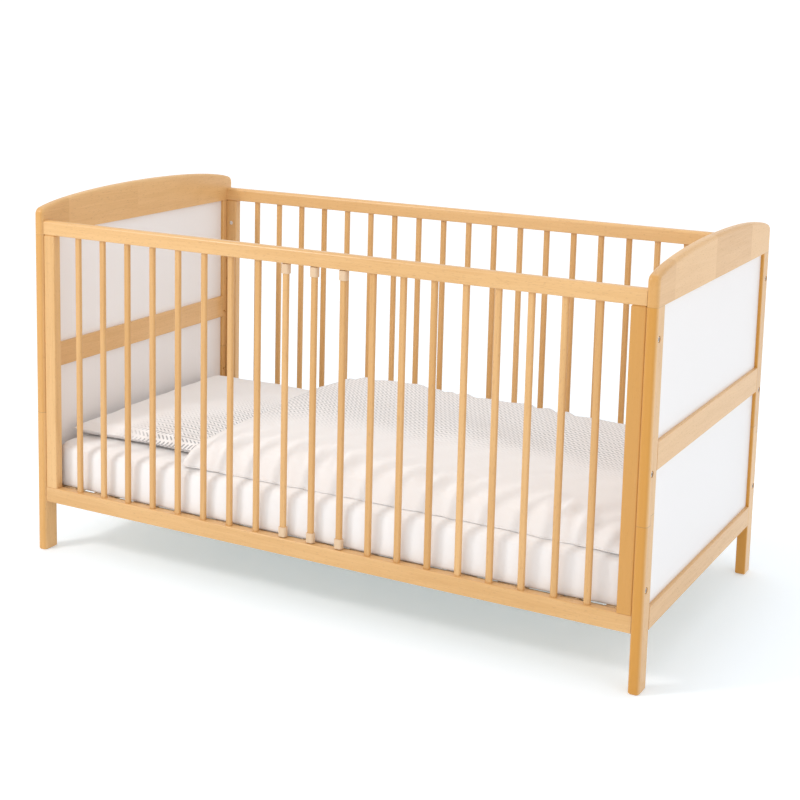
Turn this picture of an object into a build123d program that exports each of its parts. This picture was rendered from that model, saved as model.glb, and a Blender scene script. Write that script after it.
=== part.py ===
"""A wooden cot bed for a 140 x 70 cm mattress, as separate named pieces.

The length runs along X with the head at -X, the front is at -Y and Z points up.
The origin is on the floor, under the middle of the bed. All sizes are millimetres.
"""
from build123d import *
import math
import os

# ---- driving dimensions -----------------------------------------------------
MATTRESS_LENGTH = 1400
MATTRESS_WIDTH = 700
MATTRESS_THICKNESS = 105
MATTRESS_ROUNDING = 20
MATTRESS_EASE = 4              # spare length and width left in the mattress's nominal size
LENGTH_EASE = 4                # inner length of the bed beyond the mattress
WIDTH_EASE = 16                # inner width of the bed beyond the mattress

POST_THICKNESS = 23            # along X
POST_WIDTH = 42                # along Y
POST_HEIGHT = 740              # up to the line under the arched rail
POST_ROUNDING = 8
POST_INNER_ROUNDING = 3
FOOT_CHAMFER = 2
SPLICE_HEIGHT = 337            # middle of the stepped glue joint in each post
SPLICE_STEP = 18

ARCH_MIDDLE_HEIGHT = 88        # of the arched rail above the posts
ARCH_RISE = 40                 # height of the half ellipse that makes the arch
ARCH_OVERRUN = 10              # how far the ellipse would reach beyond the posts
ARCH_CORNER_RADIUS = 16

END_RAIL_BOTTOM = 116          # undersides of the end and side bottom rails
END_BOTTOM_RAIL_HEIGHT = 45
MIDDLE_RAIL_BOTTOM = 427
MIDDLE_RAIL_HEIGHT = 55
RAIL_ROUNDING = 1.5
PANEL_THICKNESS = 8
PANEL_BITE = 8                 # how far a panel goes into its grooves
TENON_LENGTH = 14
TENON_THICKNESS = 8

SIDE_THICKNESS = 22            # rails and stiles of a side, along Y
SIDE_SETBACK = 5               # a side lies this far behind the posts' outer faces
SIDE_TOP_RAIL_HEIGHT = 32
SIDE_TOP_ROUNDING = 7
SIDE_BOTTOM_RAIL_HEIGHT = 36
SIDE_BOTTOM_ROUNDING = 3
STILE_WIDTH = 30
STILE_ROUNDING = 3
STILE_END_CHAMFER = 2.5

BAR_COUNT = 19
BAR_WIDTH = 14                 # along X
BAR_DEPTH = 10                 # along Y
BAR_ROUNDING = 4
BAR_BITE = 12                  # how far a bar goes into each rail
SLIP_BAR_COUNT = 3             # sprung bars in the middle of the front

CAP_WALL = 1.8
CAP_HEIGHT = 21
CAP_ROUNDING = 5
CAP_EDGE = 1.2
CAP_STANDOFF = 1.5             # gap between a cap and its rail, bridged by the neck
CAP_NECK_RADIUS = 3.5
CAP_NECK_BITE = 8              # how far a neck goes into its rail
CAP_ROOF = 3
SLIP_GRIP = 5                  # length of bar inside the top cap at rest
SPRING_WIRE = 0.8
SPRING_RADIUS = 2.2            # to the middle of the wire
SPRING_BORE_RADIUS = 3
SPRING_BORE_DEPTH = 26
SPRING_TURNS = 9

BOLT_HEIGHTS = (203, 427, 680)
BOLT_RADIUS = 3
BOLT_HEAD_RADIUS = 5
BOLT_HEAD_HEIGHT = 6
BOLT_HEAD_CHAMFER = 0.6
BOLT_SINK = 1                  # head top below the post's face
HEX_SIDES = 6
HEX_ACROSS_CORNERS = 5.8
HEX_DEPTH = 3
COUNTERBORE_RADIUS = 6.5
BARREL_RADIUS = 5
BARREL_LENGTH = 17
BARREL_INSET = 15              # barrel nut's axis from the stile's end face
BARREL_SLOT = 1.6
BARREL_SINK = 0.5              # barrel nut's end below the stile's face
BOLT_END_PROUD = 6             # bolt tip beyond the barrel nut's axis

DOWEL_RADIUS = 4
DOWEL_BITE = 20                # in each of the two pieces a dowel joins
DOWEL_SPACING = 16
SIDE_DOWEL_RADIUS = 3
SIDE_DOWEL_SPACING = 14

PIN_RADIUS = 3
PIN_PROUD = 12                 # of a base support pin inside the bed
PIN_BITE = 7                   # of a base support pin in its post
PIN_LOW_HEIGHT = 125
PIN_STEP = 158                 # between the three heights of the base
PIN_LEVELS = 3
PIN_FROM_POST_EDGE = 7         # pin axis from the post's inner edge

BEAM_HEIGHT = 26
BEAM_THICKNESS = 22
BEAM_BELOW_PIN = 9             # underside of the base below the pins' axis
BASE_END_GAP = 1.5
BASE_SIDE_GAP = 4
SLAT_COUNT = 13
SLAT_WIDTH = 60
SLAT_THICKNESS = 8
SLAT_ROUNDING = 2
SLAT_SIDE_INSET = 2
SCREW_RADIUS = 1.75
SCREW_HEAD_RADIUS = 3.5
SCREW_LENGTH = 32
CORNER_SCREW_DEPTH_SHARE = 3 / 4       # of a side beam's thickness, from its outer face
CORNER_SCREW_HEIGHT_SHARES = (1 / 4, 3 / 4)
SLAT_SCREW_DEPTH_SHARE = 1 / 3
SCREW_HEAD_DEPTH = 3

PILLOW_LENGTH = 400            # along X
PILLOW_SIDE_GAP = 48           # from the mattress's sides
PILLOW_THICKNESS = 50
PILLOW_ROUNDING = 18
PILLOW_END_GAP = 4             # to the head end of the bed
DUVET_SIDE_GAP = 2             # from the mattress's sides
DUVET_THICK_HEAD = 95          # height over the mattress where it lies on the pillow
DUVET_THICK_FOOT = 70
DUVET_PILLOW_LAP = 52          # how far it covers the pillow
DUVET_FOOT_GAP = 10
DUVET_ROUNDING = 18
DUVET_TOP_SLOPE_START = 110    # from its head edge to its highest line

WOOD_FIT = 0.1                 # clearance of glued joints, each side
METAL_FIT = 0.05               # clearance of bolts in their nuts
BOLT_CLEARANCE = 0.5
LOOSE_FIT = 0.3                # clearance between pieces that move past each other
END_PLAY = 1                   # spare depth at the bottom of blind holes and grooves

# ---- sizes worked out from them ---------------------------------------------
INNER_LENGTH = MATTRESS_LENGTH + LENGTH_EASE
INNER_WIDTH = MATTRESS_WIDTH + WIDTH_EASE
LENGTH = INNER_LENGTH + 2 * POST_THICKNESS
WIDTH = INNER_WIDTH + 2 * (SIDE_THICKNESS + SIDE_SETBACK)

END_IN = INNER_LENGTH / 2                  # inner face of an end
END_OUT = LENGTH / 2
END_MIDDLE = (END_IN + END_OUT) / 2
POST_OUT = WIDTH / 2
POST_IN = POST_OUT - POST_WIDTH
POST_MIDDLE = (POST_IN + POST_OUT) / 2
SIDE_IN = INNER_WIDTH / 2
SIDE_OUT = SIDE_IN + SIDE_THICKNESS
SIDE_MIDDLE = (SIDE_IN + SIDE_OUT) / 2
STILE_IN = END_IN - STILE_WIDTH
STILE_MIDDLE = END_IN - STILE_WIDTH / 2

END_BOTTOM_RAIL_TOP = END_RAIL_BOTTOM + END_BOTTOM_RAIL_HEIGHT
MIDDLE_RAIL_TOP = MIDDLE_RAIL_BOTTOM + MIDDLE_RAIL_HEIGHT
SIDE_BOTTOM_RAIL_TOP = END_RAIL_BOTTOM + SIDE_BOTTOM_RAIL_HEIGHT

BAR_PITCH = (2 * STILE_IN - BAR_COUNT * BAR_WIDTH) / (BAR_COUNT + 1) + BAR_WIDTH
BAR_PLACES = [(i - (BAR_COUNT - 1) / 2) * BAR_PITCH for i in range(BAR_COUNT)]
FIRST_SLIP = (BAR_COUNT - SLIP_BAR_COUNT) // 2
SLIP_PLACES = BAR_PLACES[FIRST_SLIP:FIRST_SLIP + SLIP_BAR_COUNT]
HEAD_PLACES = BAR_PLACES[:FIRST_SLIP]
FOOT_PLACES = BAR_PLACES[FIRST_SLIP + SLIP_BAR_COUNT:]

TOP_CAP_TOP = POST_HEIGHT - CAP_STANDOFF
TOP_CAP_BOTTOM = TOP_CAP_TOP - CAP_HEIGHT
TOP_CAP_ROOF = TOP_CAP_TOP - CAP_ROOF
SLIP_BAR_TOP = TOP_CAP_BOTTOM + SLIP_GRIP
BOTTOM_CAP_BOTTOM = SIDE_BOTTOM_RAIL_TOP + CAP_STANDOFF
BOTTOM_CAP_TOP = BOTTOM_CAP_BOTTOM + CAP_HEIGHT
SLIP_BAR_BOTTOM = BOTTOM_CAP_BOTTOM + CAP_ROOF
NECK_HOLE_RADIUS = CAP_NECK_RADIUS + LOOSE_FIT

BASE_BOTTOM = PIN_LOW_HEIGHT - BEAM_BELOW_PIN
BEAM_TOP = BASE_BOTTOM + BEAM_HEIGHT
BASE_TOP = BEAM_TOP + SLAT_THICKNESS
BASE_END = END_IN - BASE_END_GAP
BASE_SIDE = SIDE_IN - BASE_SIDE_GAP
PIN_PLACE = POST_IN + PIN_FROM_POST_EDGE
MATTRESS_TOP = BASE_TOP + MATTRESS_THICKNESS
SLAT_PITCH = (2 * BASE_END - SLAT_WIDTH) / (SLAT_COUNT - 1)
SLAT_PLACES = [(i - (SLAT_COUNT - 1) / 2) * SLAT_PITCH for i in range(SLAT_COUNT)]

nodes = {}


# ---- helpers ----------------------------------------------------------------
def block(x_span, y_span, z_span):
    """A box between two limits on each axis."""
    spans = (x_span, y_span, z_span)
    middle = [(low + high) / 2 for low, high in spans]
    return Pos(*middle) * Box(*[high - low for low, high in spans])


def rod(start, end, radius):
    """A round rod between two points."""
    way = Vector(*end) - Vector(*start)
    return extrude(Plane(origin=start, z_dir=way) * Circle(radius), way.length)


def upright(x, y, z_span, width, depth, rounding):
    """An upright stick of rounded section, centred on x and y."""
    section = Pos(x, y, z_span[0]) * RectangleRounded(width, depth, rounding)
    return extrude(section, z_span[1] - z_span[0])


def to_front(piece):
    """The rear piece's twin at the front."""
    return mirror(piece, about=Plane.XZ)


def to_head(piece):
    """The foot piece's twin at the head."""
    return mirror(piece, about=Plane.YZ)


def four_corners(piece):
    """One piece at the rear foot corner, and its three twins."""
    return [piece, to_front(piece), to_head(piece), to_head(to_front(piece))]


def keep(name, *pieces):
    """Store one node, made of one solid or of a group of separate solids."""
    solids = [solid for piece in pieces for solid in piece.solids()]
    nodes[name] = solids[0] if len(solids) == 1 else Compound(children=solids)


def keep_ends(name, piece):
    """Store a foot end piece and its twin at the head."""
    keep(f"foot_{name}", piece)
    keep(f"head_{name}", to_head(piece))


def along_edges(piece, axis, face_axis, pick):
    """Edges that run along one axis, on the first (0) or last (-1) face of another."""
    return piece.faces().sort_by(face_axis)[pick].edges().filter_by(axis)


# ---- the two ends -----------------------------------------------------------
def bolt_hole(z, radius, x_span):
    return rod((x_span[0], SIDE_MIDDLE, z), (x_span[1], SIDE_MIDDLE, z), radius)


def groove(y_span, z_span):
    """The room that a panel's edge takes in the wood round it."""
    half = PANEL_THICKNESS / 2 + WOOD_FIT
    return block((END_MIDDLE - half, END_MIDDLE + half), y_span, z_span)


def panel_room(z_low, z_high):
    """A panel's whole room, grooves included, between two rails' edges."""
    reach = PANEL_BITE + END_PLAY
    return groove((-POST_IN - reach, POST_IN + reach), (z_low - reach, z_high + reach))


UPPER_PANEL_SPAN = (MIDDLE_RAIL_TOP, POST_HEIGHT)
LOWER_PANEL_SPAN = (END_BOTTOM_RAIL_TOP, MIDDLE_RAIL_BOTTOM)


def tenon(z_low, z_high, fit=0.0):
    """One tenon of an end rail, from the post's edge into the post."""
    half = TENON_THICKNESS / 2 + fit
    reach = END_PLAY if fit else 0
    shoulder = PANEL_BITE + 2 * END_PLAY - fit
    return block((END_MIDDLE - half, END_MIDDLE + half),
                 (POST_IN, POST_IN + TENON_LENGTH + reach),
                 (z_low + shoulder, z_high - shoulder))


def dowel_places():
    """Both dowels of a post's top, clear of the panel's edge."""
    first = POST_IN + PANEL_BITE + 2 * END_PLAY + DOWEL_RADIUS
    return [first, first + DOWEL_SPACING]


def rear_foot_post():
    """The whole post at the rear foot corner, before its splice is cut."""
    post = block((END_IN, END_OUT), (POST_IN, POST_OUT), (0, POST_HEIGHT))
    post = fillet(along_edges(post, Axis.Z, Axis.Y, -1), POST_ROUNDING)
    post = fillet(along_edges(post, Axis.Z, Axis.Y, 0), POST_INNER_ROUNDING)
    post = chamfer(post.faces().sort_by(Axis.Z)[0].edges(), FOOT_CHAMFER)
    post -= panel_room(*UPPER_PANEL_SPAN)
    post -= panel_room(*LOWER_PANEL_SPAN)
    post -= tenon(MIDDLE_RAIL_BOTTOM, MIDDLE_RAIL_TOP, WOOD_FIT)
    post -= tenon(END_RAIL_BOTTOM, END_BOTTOM_RAIL_TOP, WOOD_FIT)
    for z in BOLT_HEIGHTS:
        post -= bolt_hole(z, BOLT_RADIUS + BOLT_CLEARANCE, (END_IN, END_OUT))
        seat = END_OUT - BOLT_SINK - BOLT_HEAD_HEIGHT
        post -= bolt_hole(z, COUNTERBORE_RADIUS, (seat, END_OUT))
    for level in range(PIN_LEVELS):
        z = PIN_LOW_HEIGHT + level * PIN_STEP
        post -= rod((END_IN, PIN_PLACE, z), (END_IN + PIN_BITE, PIN_PLACE, z), PIN_RADIUS + METAL_FIT)
    for y in dowel_places():
        bottom = POST_HEIGHT - DOWEL_BITE - END_PLAY
        post -= rod((END_MIDDLE, y, bottom), (END_MIDDLE, y, POST_HEIGHT), DOWEL_RADIUS + WOOD_FIT)
    return post


def below_splice():
    """Everything under the stepped joint of the rear foot post."""
    outer = block((END_IN, END_OUT), (POST_MIDDLE, POST_OUT), (0, SPLICE_HEIGHT - SPLICE_STEP / 2))
    inner = block((END_IN, END_OUT), (POST_IN, POST_MIDDLE), (0, SPLICE_HEIGHT + SPLICE_STEP / 2))
    return outer + inner


def arched_rail():
    """The top rail of an end: straight below, part of an ellipse above."""
    reach = POST_OUT + ARCH_OVERRUN
    middle = POST_HEIGHT + ARCH_MIDDLE_HEIGHT - ARCH_RISE
    end_angle = math.degrees(math.acos(POST_OUT / reach))
    crown = EllipticalCenterArc((0, middle), reach, ARCH_RISE, start_angle=end_angle,
                                arc_size=180 - 2 * end_angle)
    sides = Polyline(crown @ 1, (-POST_OUT, POST_HEIGHT), (POST_OUT, POST_HEIGHT), crown @ 0)
    outline = make_face(sides + crown)
    outline = fillet(outline.vertices().filter_by(lambda v: v.Y > POST_HEIGHT), ARCH_CORNER_RADIUS)
    rail = Pos(END_IN, 0, 0) * extrude(Plane.YZ * outline, POST_THICKNESS)
    rims = rail.faces().filter_by(Axis.X).edges().filter_by(lambda e: e.center().Z > POST_HEIGHT + 1)
    rail = fillet(rims, POST_ROUNDING)
    rail -= panel_room(*UPPER_PANEL_SPAN)
    for y in dowel_places():
        for side in (-1, 1):
            top = POST_HEIGHT + DOWEL_BITE + END_PLAY
            rail -= rod((END_MIDDLE, side * y, POST_HEIGHT), (END_MIDDLE, side * y, top),
                        DOWEL_RADIUS + WOOD_FIT)
    return rail


def end_rail(z_low, z_high):
    """A straight rail between the posts, with a tenon at each end."""
    rail = block((END_IN, END_OUT), (-POST_IN, POST_IN), (z_low, z_high))
    rail = fillet(rail.edges().filter_by(Axis.Y), RAIL_ROUNDING)
    rail -= panel_room(*UPPER_PANEL_SPAN)
    rail -= panel_room(*LOWER_PANEL_SPAN)
    rear_tenon = tenon(z_low, z_high)
    return rail + rear_tenon + to_front(rear_tenon)


def panel(z_low, z_high):
    """A thin panel, held in the grooves round it."""
    half = PANEL_THICKNESS / 2
    edge = POST_IN + PANEL_BITE
    return block((END_MIDDLE - half, END_MIDDLE + half), (-edge, edge),
                 (z_low - PANEL_BITE, z_high + PANEL_BITE))


def build_ends():
    post = rear_foot_post()
    lower = post & below_splice()
    upper = post - below_splice()
    for part_name, part in (("lower", lower), ("upper", upper)):
        keep_ends(f"rear_post_{part_name}", part)
        keep_ends(f"front_post_{part_name}", to_front(part))
    keep_ends("arched_rail", arched_rail())
    keep_ends("middle_rail", end_rail(MIDDLE_RAIL_BOTTOM, MIDDLE_RAIL_TOP))
    keep_ends("bottom_rail", end_rail(END_RAIL_BOTTOM, END_BOTTOM_RAIL_TOP))
    keep_ends("upper_panel", panel(*UPPER_PANEL_SPAN))
    keep_ends("lower_panel", panel(*LOWER_PANEL_SPAN))
    dowels = []
    for y in dowel_places():
        dowel = rod((END_MIDDLE, y, POST_HEIGHT - DOWEL_BITE),
                    (END_MIDDLE, y, POST_HEIGHT + DOWEL_BITE), DOWEL_RADIUS)
        dowels += four_corners(dowel)
    keep("arched_rail_dowels", *dowels)


# ---- the two sides ----------------------------------------------------------
def bar_holes(z_span, places, slip_places):
    """Mortises for the fixed bars and round holes for the slip bars' necks."""
    holes = [upright(x, SIDE_MIDDLE, z_span, BAR_WIDTH + 2 * WOOD_FIT, BAR_DEPTH + 2 * WOOD_FIT,
                     BAR_ROUNDING + WOOD_FIT) for x in places]
    return holes + [rod((x, SIDE_MIDDLE, z_span[0]), (x, SIDE_MIDDLE, z_span[1]), NECK_HOLE_RADIUS)
                    for x in slip_places]


def side_dowel_places():
    return [STILE_MIDDLE - SIDE_DOWEL_SPACING / 2, STILE_MIDDLE + SIDE_DOWEL_SPACING / 2]


def side_dowel_holes(z_joint):
    """Holes for the dowels between a side rail and its stiles."""
    reach = DOWEL_BITE + END_PLAY
    return [rod((side * x, SIDE_MIDDLE, z_joint - reach), (side * x, SIDE_MIDDLE, z_joint + reach),
                SIDE_DOWEL_RADIUS + WOOD_FIT)
            for x in side_dowel_places() for side in (-1, 1)]


def side_top_rail(places, slip_places):
    rail = block((-END_IN, END_IN), (SIDE_IN, SIDE_OUT),
                 (POST_HEIGHT, POST_HEIGHT + SIDE_TOP_RAIL_HEIGHT))
    rail = fillet(along_edges(rail, Axis.X, Axis.Z, -1), SIDE_TOP_ROUNDING)
    rail = fillet(along_edges(rail, Axis.X, Axis.Z, 0), SIDE_BOTTOM_ROUNDING)
    rail -= bar_holes((POST_HEIGHT, POST_HEIGHT + BAR_BITE + END_PLAY), places, slip_places)
    return rail - side_dowel_holes(POST_HEIGHT)


def side_bottom_rail(places, slip_places):
    rail = block((-END_IN, END_IN), (SIDE_IN, SIDE_OUT), (END_RAIL_BOTTOM, SIDE_BOTTOM_RAIL_TOP))
    rail = fillet(rail.edges().filter_by(Axis.X), SIDE_BOTTOM_ROUNDING)
    rail -= bar_holes((SIDE_BOTTOM_RAIL_TOP - BAR_BITE - END_PLAY, SIDE_BOTTOM_RAIL_TOP), places, [])
    rail -= bar_holes((SIDE_BOTTOM_RAIL_TOP - CAP_NECK_BITE - END_PLAY, SIDE_BOTTOM_RAIL_TOP),
                      [], slip_places)
    return rail - side_dowel_holes(SIDE_BOTTOM_RAIL_TOP)


def rear_foot_stile():
    """An upright of a side, drilled for the bolts and their barrel nuts."""
    stile = block((STILE_IN, END_IN), (SIDE_IN, SIDE_OUT), (SIDE_BOTTOM_RAIL_TOP, POST_HEIGHT))
    stile = fillet(stile.edges().filter_by(Axis.Z), STILE_ROUNDING)
    stile = chamfer(stile.faces().sort_by(Axis.Z)[-1].edges(), STILE_END_CHAMFER)
    barrel_x = END_IN - BARREL_INSET
    for z in BOLT_HEIGHTS:
        tip = barrel_x - BOLT_END_PROUD - END_PLAY
        stile -= bolt_hole(z, BOLT_RADIUS + BOLT_CLEARANCE, (tip, END_IN))
        depth = BARREL_SINK + BARREL_LENGTH + WOOD_FIT
        stile -= rod((barrel_x, SIDE_IN, z), (barrel_x, SIDE_IN + depth, z), BARREL_RADIUS + WOOD_FIT)
    holes = side_dowel_holes(POST_HEIGHT) + side_dowel_holes(SIDE_BOTTOM_RAIL_TOP)
    return stile - holes


def fixed_bars(places):
    span = (SIDE_BOTTOM_RAIL_TOP - BAR_BITE, POST_HEIGHT + BAR_BITE)
    return [upright(x, SIDE_MIDDLE, span, BAR_WIDTH, BAR_DEPTH, BAR_ROUNDING) for x in places]


def build_sides():
    sides = (("rear", BAR_PLACES, [], lambda piece: piece),
             ("front", HEAD_PLACES + FOOT_PLACES, SLIP_PLACES, to_front))
    stile = rear_foot_stile()
    for side, places, slip_places, placed in sides:
        keep(f"{side}_top_rail", placed(side_top_rail(places, slip_places)))
        keep(f"{side}_bottom_rail", placed(side_bottom_rail(places, slip_places)))
        keep_ends(f"{side}_stile", placed(stile))
    keep("rear_bars", *fixed_bars(BAR_PLACES))
    keep("front_bars_head", *[to_front(bar) for bar in fixed_bars(HEAD_PLACES)])
    keep("front_bars_foot", *[to_front(bar) for bar in fixed_bars(FOOT_PLACES)])
    dowels = []
    for x in side_dowel_places():
        for z in (SIDE_BOTTOM_RAIL_TOP, POST_HEIGHT):
            dowel = rod((x, SIDE_MIDDLE, z - DOWEL_BITE), (x, SIDE_MIDDLE, z + DOWEL_BITE),
                        SIDE_DOWEL_RADIUS)
            dowels += four_corners(dowel)
    keep("side_frame_dowels", *dowels)


# ---- the sprung slip bars ---------------------------------------------------
def cap_shell(x, z_span):
    """The outside of a slip bar's cap, softly rounded all over."""
    shell = upright(x, -SIDE_MIDDLE, z_span,
                    BAR_WIDTH + 2 * (CAP_WALL + LOOSE_FIT), BAR_DEPTH + 2 * (CAP_WALL + LOOSE_FIT),
                    CAP_ROUNDING)
    rims = shell.faces().filter_by(Axis.Z).edges()
    return fillet(rims, CAP_EDGE)


def bar_room(x, z_span, fit):
    return upright(x, -SIDE_MIDDLE, z_span, BAR_WIDTH + 2 * fit, BAR_DEPTH + 2 * fit,
                   BAR_ROUNDING + fit)


def top_cap(x):
    """A sleeve fixed in the top rail; the bar slides up inside it."""
    cap = cap_shell(x, (TOP_CAP_BOTTOM, TOP_CAP_TOP))
    cap -= bar_room(x, (TOP_CAP_BOTTOM, TOP_CAP_ROOF), LOOSE_FIT)
    return cap + rod((x, -SIDE_MIDDLE, TOP_CAP_ROOF), (x, -SIDE_MIDDLE, POST_HEIGHT + CAP_NECK_BITE),
                     CAP_NECK_RADIUS)


def bottom_cap(x):
    """The bar's foot, whose neck stands in a hole of the bottom rail."""
    cap = cap_shell(x, (BOTTOM_CAP_BOTTOM, BOTTOM_CAP_TOP))
    cap -= bar_room(x, (SLIP_BAR_BOTTOM, BOTTOM_CAP_TOP), WOOD_FIT)
    tip = SIDE_BOTTOM_RAIL_TOP - CAP_NECK_BITE
    return cap + rod((x, -SIDE_MIDDLE, tip), (x, -SIDE_MIDDLE, SLIP_BAR_BOTTOM), CAP_NECK_RADIUS)


def slip_bar(x):
    bar = bar_room(x, (SLIP_BAR_BOTTOM, SLIP_BAR_TOP), 0)
    bore_end = SLIP_BAR_TOP - SPRING_BORE_DEPTH
    return bar - rod((x, -SIDE_MIDDLE, bore_end), (x, -SIDE_MIDDLE, SLIP_BAR_TOP), SPRING_BORE_RADIUS)


def cap_spring(x):
    """A coil spring between the bar's bore and the roof of the top cap."""
    low = SLIP_BAR_TOP - SPRING_BORE_DEPTH + SPRING_WIRE
    height = TOP_CAP_ROOF - SPRING_WIRE - low
    coil = Helix(height / SPRING_TURNS, height, SPRING_RADIUS)
    wire = sweep(Plane(coil @ 0, z_dir=coil % 0) * Circle(SPRING_WIRE / 2), path=coil, is_frenet=True)
    return Pos(x, -SIDE_MIDDLE, low) * wire


def build_slip_bars():
    for number, x in enumerate(SLIP_PLACES, start=1):
        keep(f"slip_bar_{number}", slip_bar(x))
        keep(f"slip_bar_top_cap_{number}", top_cap(x))
        keep(f"slip_bar_bottom_cap_{number}", bottom_cap(x))
        keep(f"slip_bar_spring_{number}", cap_spring(x))


# ---- bolts and barrel nuts --------------------------------------------------
def frame_bolt(z):
    """A hexagon socket bolt through a post into its barrel nut."""
    top = END_OUT - BOLT_SINK
    seat = top - BOLT_HEAD_HEIGHT
    head = bolt_hole(z, BOLT_HEAD_RADIUS, (seat, top))
    head = chamfer(head.edges().sort_by(Axis.X)[-1], BOLT_HEAD_CHAMFER)
    hexagon = RegularPolygon(HEX_ACROSS_CORNERS / 2, HEX_SIDES)
    socket = Plane(origin=(top, SIDE_MIDDLE, z), z_dir=(-1, 0, 0)) * hexagon
    head -= extrude(socket, HEX_DEPTH)
    return head + bolt_hole(z, BOLT_RADIUS, (END_IN - BARREL_INSET - BOLT_END_PROUD, seat))


def barrel_nut(z):
    """A slotted cross nut, seen on the stile's inner face."""
    x = END_IN - BARREL_INSET
    face = SIDE_IN + BARREL_SINK
    nut = rod((x, face, z), (x, face + BARREL_LENGTH, z), BARREL_RADIUS)
    nut -= bolt_hole(z, BOLT_RADIUS + METAL_FIT, (x - 2 * BARREL_RADIUS, x + 2 * BARREL_RADIUS))
    half = BARREL_SLOT / 2
    return nut - block((x - BARREL_RADIUS, x + BARREL_RADIUS), (face, face + BARREL_SLOT),
                       (z - half, z + half))


def build_fasteners():
    bolts = []
    nuts = []
    for z in BOLT_HEIGHTS:
        bolts += four_corners(frame_bolt(z))
        nuts += four_corners(barrel_nut(z))
    keep("frame_bolts", *bolts)
    keep("barrel_nuts", *nuts)


# ---- the slatted base -------------------------------------------------------
def screw(start, way):
    """A countersunk wood screw from its head's face along a unit direction."""
    plane = Plane(origin=start, z_dir=way)
    cone = Cone(SCREW_HEAD_RADIUS, SCREW_RADIUS, SCREW_HEAD_DEPTH,
                align=(Align.CENTER, Align.CENTER, Align.MIN))
    shank = Pos(0, 0, SCREW_HEAD_DEPTH) * extrude(Circle(SCREW_RADIUS), SCREW_LENGTH - SCREW_HEAD_DEPTH)
    return plane.location * (cone + shank)


def corner_screws():
    """Two screws through an end beam into a side beam, at the rear foot corner."""
    y = BASE_SIDE - CORNER_SCREW_DEPTH_SHARE * BEAM_THICKNESS
    return [screw((BASE_END, y, BASE_BOTTOM + share * BEAM_HEIGHT), (-1, 0, 0))
            for share in CORNER_SCREW_HEIGHT_SHARES]


def slat_screws():
    y = BASE_SIDE - SLAT_SCREW_DEPTH_SHARE * BEAM_THICKNESS
    rear = [screw((x, y, BASE_TOP), (0, 0, -1)) for x in SLAT_PLACES[1:-1]]
    return rear + [to_front(piece) for piece in rear]


def pin_room():
    """The rebate that a base corner leaves round its support pin."""
    inner = PIN_PLACE - PIN_RADIUS - LOOSE_FIT
    return block((END_IN - PIN_PROUD - END_PLAY, END_IN), (inner, SIDE_IN),
                 (BASE_BOTTOM, PIN_LOW_HEIGHT + PIN_RADIUS + LOOSE_FIT))


def build_base():
    driven = [piece for screw_piece in corner_screws() for piece in four_corners(screw_piece)]
    pressed = slat_screws()
    rebates = four_corners(pin_room())
    end_beam = block((BASE_END - BEAM_THICKNESS, BASE_END), (-BASE_SIDE, BASE_SIDE),
                     (BASE_BOTTOM, BEAM_TOP)) - rebates - driven
    reach = BASE_END - BEAM_THICKNESS
    side_beam = block((-reach, reach), (BASE_SIDE - BEAM_THICKNESS, BASE_SIDE),
                      (BASE_BOTTOM, BEAM_TOP)) - driven - pressed
    keep_ends("base_beam", end_beam)
    keep("rear_base_beam", side_beam)
    keep("front_base_beam", to_front(side_beam))
    half_slat = SLAT_WIDTH / 2
    end = BASE_SIDE - SLAT_SIDE_INSET
    slats = []
    for x in SLAT_PLACES:
        slat = block((x - half_slat, x + half_slat), (-end, end), (BEAM_TOP, BASE_TOP))
        slat = fillet(along_edges(slat, Axis.Y, Axis.Z, -1), SLAT_ROUNDING)
        slats.append(slat - pressed)
    keep("base_slats", *slats)
    keep("base_corner_screws", *driven)
    keep("slat_screws", *pressed)
    pin = rod((END_IN - PIN_PROUD, PIN_PLACE, PIN_LOW_HEIGHT),
              (END_IN + PIN_BITE, PIN_PLACE, PIN_LOW_HEIGHT), PIN_RADIUS)
    keep("base_support_pins", *four_corners(pin))


# ---- the bedding ------------------------------------------------------------
def build_bedding():
    half_length = (MATTRESS_LENGTH - MATTRESS_EASE) / 2
    half_width = (MATTRESS_WIDTH - MATTRESS_EASE) / 2
    mattress = block((-half_length, half_length), (-half_width, half_width), (BASE_TOP, MATTRESS_TOP))
    keep("mattress", fillet(mattress.edges(), MATTRESS_ROUNDING))

    pillow_head = -END_IN + PILLOW_END_GAP
    pillow_foot = pillow_head + PILLOW_LENGTH
    pillow_top = MATTRESS_TOP + PILLOW_THICKNESS
    pillow_side = half_width - PILLOW_SIDE_GAP
    pillow = block((pillow_head, pillow_foot), (-pillow_side, pillow_side), (MATTRESS_TOP, pillow_top))
    keep("pillow", fillet(pillow.edges(), PILLOW_ROUNDING))

    low = MATTRESS_TOP + LOOSE_FIT
    step = pillow_top + END_PLAY
    head = pillow_foot - DUVET_PILLOW_LAP
    foot = half_length - DUVET_FOOT_GAP
    crest = head + DUVET_TOP_SLOPE_START
    outline = Polyline((pillow_foot + END_PLAY, low), (foot, low), (foot, MATTRESS_TOP + DUVET_THICK_FOOT),
                       (crest, MATTRESS_TOP + DUVET_THICK_HEAD), (head, step + 2 * DUVET_ROUNDING),
                       (head, step), (pillow_foot + END_PLAY, step), close=True)
    duvet = extrude(Plane.XZ * make_face(outline), half_width - DUVET_SIDE_GAP, both=True)
    rims = duvet.faces().sort_by(Axis.X)[-1].edges() + duvet.faces().sort_by(Axis.Z)[-1].edges()
    outer = [edge for edge in rims if edge.center().Z > low + 1]
    keep("duvet", fillet(outer, DUVET_ROUNDING))


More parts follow.
